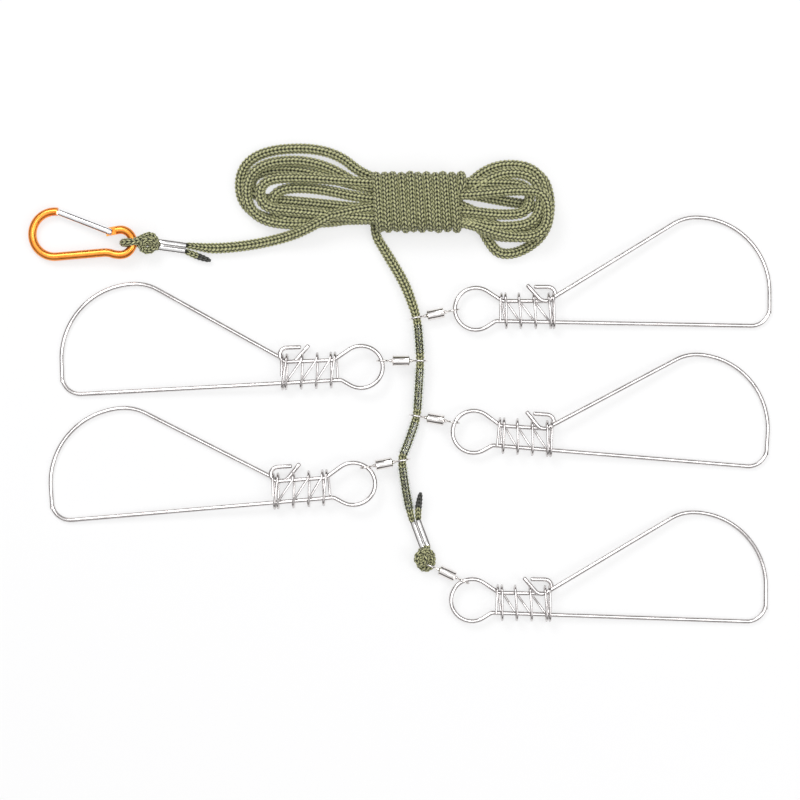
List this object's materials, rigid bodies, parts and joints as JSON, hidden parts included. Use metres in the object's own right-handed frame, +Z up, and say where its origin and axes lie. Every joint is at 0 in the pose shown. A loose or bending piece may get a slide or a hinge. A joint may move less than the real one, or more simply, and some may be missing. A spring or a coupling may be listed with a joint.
{
  "type": "fish stringer",
  "caption": "Fish stringer: braided cord wound in a hank, with a carabiner at one end and wire snaps with sliding lock coils on barrel swivels along the other.",
  "frame": {"origin": "middle of the box of the hardware, at the table", "axes": "+X to the right along the snaps, +Y from the lowest snap towards the hank, +Z up from the table"},
  "size_m": [0.3416, 0.2187, 0.0161],
  "materials": {
    "cord": "knitted braid",
    "singed_cord": "melted end of the braid",
    "sleeve_metal": "bright, pressed",
    "clear_tube": "clear",
    "swivel_metal": "bright",
    "stainless_wire": "bright drawn",
    "coil_wire": "bright drawn",
    "anodised": "orange anodised",
    "gate_metal": "satin"
  },
  "bodies": {
    "cord": {"cord_lead": "cord", "cord_trunk": "cord", "cord_drop": "cord", "cord_hank": "cord", "cord_wrap": "cord", "upper_eye_loop": "cord", "lower_eye_loop": "cord", "upper_tail": "singed_cord", "lower_tail": "singed_cord", "upper_sleeve": "sleeve_metal", "lower_sleeve": "sleeve_metal", "spacer_1": "clear_tube", "spacer_2": "clear_tube", "spacer_3": "clear_tube", "spacer_4": "clear_tube"},
    "swivel_eye_1": {"cord_eye_1": "swivel_metal"},
    "barrel_1": {"swivel_barrel_1": "swivel_metal"},
    "snap_swivel_1": {"snap_eye_1": "swivel_metal"},
    "snap_1": {"snap_wire_1": "stainless_wire", "lock_coil_1": "coil_wire"},
    "arm_1": {"spring_arm_1": "stainless_wire"},
    "swivel_eye_2": {"cord_eye_2": "swivel_metal"},
    "barrel_2": {"swivel_barrel_2": "swivel_metal"},
    "snap_swivel_2": {"snap_eye_2": "swivel_metal"},
    "snap_2": {"snap_wire_2": "stainless_wire", "lock_coil_2": "coil_wire"},
    "arm_2": {"spring_arm_2": "stainless_wire"},
    "swivel_eye_3": {"cord_eye_3": "swivel_metal"},
    "barrel_3": {"swivel_barrel_3": "swivel_metal"},
    "snap_swivel_3": {"snap_eye_3": "swivel_metal"},
    "snap_3": {"snap_wire_3": "stainless_wire", "lock_coil_3": "coil_wire"},
    "arm_3": {"spring_arm_3": "stainless_wire"},
    "swivel_eye_4": {"cord_eye_4": "swivel_metal"},
    "barrel_4": {"swivel_barrel_4": "swivel_metal"},
    "snap_swivel_4": {"snap_eye_4": "swivel_metal"},
    "snap_4": {"snap_wire_4": "stainless_wire", "lock_coil_4": "coil_wire"},
    "arm_4": {"spring_arm_4": "stainless_wire"},
    "swivel_eye_5": {"cord_eye_5": "swivel_metal"},
    "barrel_5": {"swivel_barrel_5": "swivel_metal"},
    "snap_swivel_5": {"snap_eye_5": "swivel_metal"},
    "snap_5": {"snap_wire_5": "stainless_wire", "lock_coil_5": "coil_wire"},
    "arm_5": {"spring_arm_5": "stainless_wire"},
    "carabiner": {"carabiner_body": "anodised", "gate_pin": "gate_metal"},
    "gate": {"carabiner_gate": "gate_metal", "gate_spring": "coil_wire"}
  },
  "joints": [
    {"name": "swivel_1_on_cord", "type": "hinge", "parent": "cord", "child": "swivel_eye_1", "pos_m": [0.0077, 0.04508, 0.00369], "axis": [0.1957, -0.9795, 0.0481], "range_deg": [-75, 75]},
    {"name": "barrel_1_spin", "type": "hinge", "parent": "swivel_eye_1", "child": "barrel_1", "pos_m": [0.01299, 0.04614, 0.00369], "axis": [0.9806, 0.1959, 0], "continuous": true},
    {"name": "snap_eye_1_spin", "type": "hinge", "parent": "barrel_1", "child": "snap_swivel_1", "pos_m": [0.02442, 0.04842, 0.00369], "axis": [0.9806, 0.1959, 0], "continuous": true},
    {"name": "snap_1_fold", "type": "hinge", "parent": "snap_swivel_1", "child": "snap_1", "pos_m": [0.02518, 0.04858, 0.00369], "axis": [-0.0628, 0.998, 0.0012], "range_deg": [-60, 60]},
    {"name": "arm_1_open", "type": "hinge", "parent": "snap_1", "child": "arm_1", "pos_m": [0.16979, 0.05218, 0.001], "axis": [-0.0413, 0, -0.9991], "range_deg": [0, 9], "stiffness_Nm_per_rad": 0.02, "deforming": ["lock_coil_1"]},
    {"name": "swivel_2_on_cord", "type": "hinge", "parent": "cord", "child": "swivel_eye_2", "pos_m": [0.00916, 0.0253, 0.0055], "axis": [0.0006, -0.9999, 0.0107], "range_deg": [-75, 75]},
    {"name": "barrel_2_spin", "type": "hinge", "parent": "swivel_eye_2", "child": "barrel_2", "pos_m": [0.00377, 0.0253, 0.00578], "axis": [-0.9986, 0, 0.0523], "continuous": true},
    {"name": "snap_eye_2_spin", "type": "hinge", "parent": "barrel_2", "child": "snap_swivel_2", "pos_m": [-0.00787, 0.0253, 0.00639], "axis": [-0.9986, 0, 0.0523], "continuous": true},
    {"name": "snap_2_fold", "type": "hinge", "parent": "snap_swivel_2", "child": "snap_2", "pos_m": [-0.00855, 0.0253, 0.00643], "axis": [-0.2905, 0.9568, -0.0096], "range_deg": [-60, 60]},
    {"name": "arm_2_open", "type": "hinge", "parent": "snap_2", "child": "arm_2", "pos_m": [-0.1527, 0.02055, 0.001], "axis": [-0.0149, -0.0005, 0.9999], "range_deg": [0, 18], "stiffness_Nm_per_rad": 0.02, "deforming": ["lock_coil_2"]},
    {"name": "swivel_3_on_cord", "type": "hinge", "parent": "cord", "child": "swivel_eye_3", "pos_m": [0.00768, 0.00003, 0.00373], "axis": [-0.1655, -0.9862, 0.0084], "range_deg": [-75, 75]},
    {"name": "barrel_3_spin", "type": "hinge", "parent": "swivel_eye_3", "child": "barrel_3", "pos_m": [0.01299, -0.00086, 0.00401], "axis": [0.9849, -0.1648, 0.0523], "continuous": true},
    {"name": "snap_eye_3_spin", "type": "hinge", "parent": "barrel_3", "child": "snap_swivel_3", "pos_m": [0.02447, -0.00279, 0.00462], "axis": [0.9849, -0.1648, 0.0523], "continuous": true},
    {"name": "snap_3_fold", "type": "hinge", "parent": "snap_swivel_3", "child": "snap_3", "pos_m": [0.02514, -0.0029, 0.00465], "axis": [0.4476, 0.8942, -0.0099], "range_deg": [-60, 60]},
    {"name": "arm_3_open", "type": "hinge", "parent": "snap_3", "child": "arm_3", "pos_m": [0.16864, -0.01293, 0.001], "axis": [-0.048, 0.0031, -0.9988], "range_deg": [0, 18], "stiffness_Nm_per_rad": 0.02, "deforming": ["lock_coil_3"]},
    {"name": "swivel_4_on_cord", "type": "hinge", "parent": "cord", "child": "swivel_eye_4", "pos_m": [0.00124, -0.02023, 0.00543], "axis": [0.1854, -0.9826, -0.0049], "range_deg": [-75, 75]},
    {"name": "barrel_4_spin", "type": "hinge", "parent": "swivel_eye_4", "child": "barrel_4", "pos_m": [-0.00406, -0.02124, 0.00572], "axis": [-0.9813, -0.1854, 0.0523], "continuous": true},
    {"name": "snap_eye_4_spin", "type": "hinge", "parent": "barrel_4", "child": "snap_swivel_4", "pos_m": [-0.01549, -0.02339, 0.00633], "axis": [-0.9813, -0.1854, 0.0523], "continuous": true},
    {"name": "snap_4_fold", "type": "hinge", "parent": "snap_swivel_4", "child": "snap_4", "pos_m": [-0.01546, -0.02339, 0.00632], "axis": [-0.7907, 0.6116, -0.0281], "range_deg": [-60, 60]},
    {"name": "arm_4_open", "type": "hinge", "parent": "snap_4", "child": "arm_4", "pos_m": [-0.15614, -0.03744, 0.001], "axis": [-0.0149, -0.001, 0.9999], "range_deg": [0, 9], "stiffness_Nm_per_rad": 0.02, "deforming": ["lock_coil_4"]},
    {"name": "swivel_5_on_cord", "type": "hinge", "parent": "cord", "child": "swivel_eye_5", "pos_m": [0.01368, -0.06844, 0.00365], "axis": [-0.4226, -0.9063, 0], "range_deg": [-75, 75]},
    {"name": "barrel_5_spin", "type": "hinge", "parent": "swivel_eye_5", "child": "barrel_5", "pos_m": [0.01858, -0.07072, 0.00365], "axis": [0.9063, -0.4226, 0], "continuous": true},
    {"name": "snap_eye_5_spin", "type": "hinge", "parent": "barrel_5", "child": "snap_swivel_5", "pos_m": [0.02913, -0.07564, 0.00365], "axis": [0.9063, -0.4226, 0], "continuous": true},
    {"name": "snap_5_fold", "type": "hinge", "parent": "snap_swivel_5", "child": "snap_5", "pos_m": [0.02913, -0.07564, 0.00365], "axis": [0.9134, 0.4067, -0.0173], "range_deg": [-60, 60]},
    {"name": "arm_5_open", "type": "hinge", "parent": "snap_5", "child": "arm_5", "pos_m": [0.16806, -0.08381, 0.001], "axis": [-0.0417, 0.0007, -0.9991], "range_deg": [0, 18], "stiffness_Nm_per_rad": 0.02, "deforming": ["lock_coil_5"]},
    {"name": "carabiner_swing", "type": "hinge", "parent": "cord", "child": "carabiner", "pos_m": [-0.12803, 0.0796, 0.00537], "axis": [-0.0835, 0, 0.9965], "range_deg": [-60, 35]},
    {"name": "gate_open", "type": "hinge", "parent": "carabiner", "child": "gate", "pos_m": [-0.13325, 0.08452, 0.00493], "axis": [-0.0835, 0, 0.9965], "range_deg": [0, 30], "stiffness_Nm_per_rad": 0.01, "deforming": ["gate_spring"]}
  ]
}
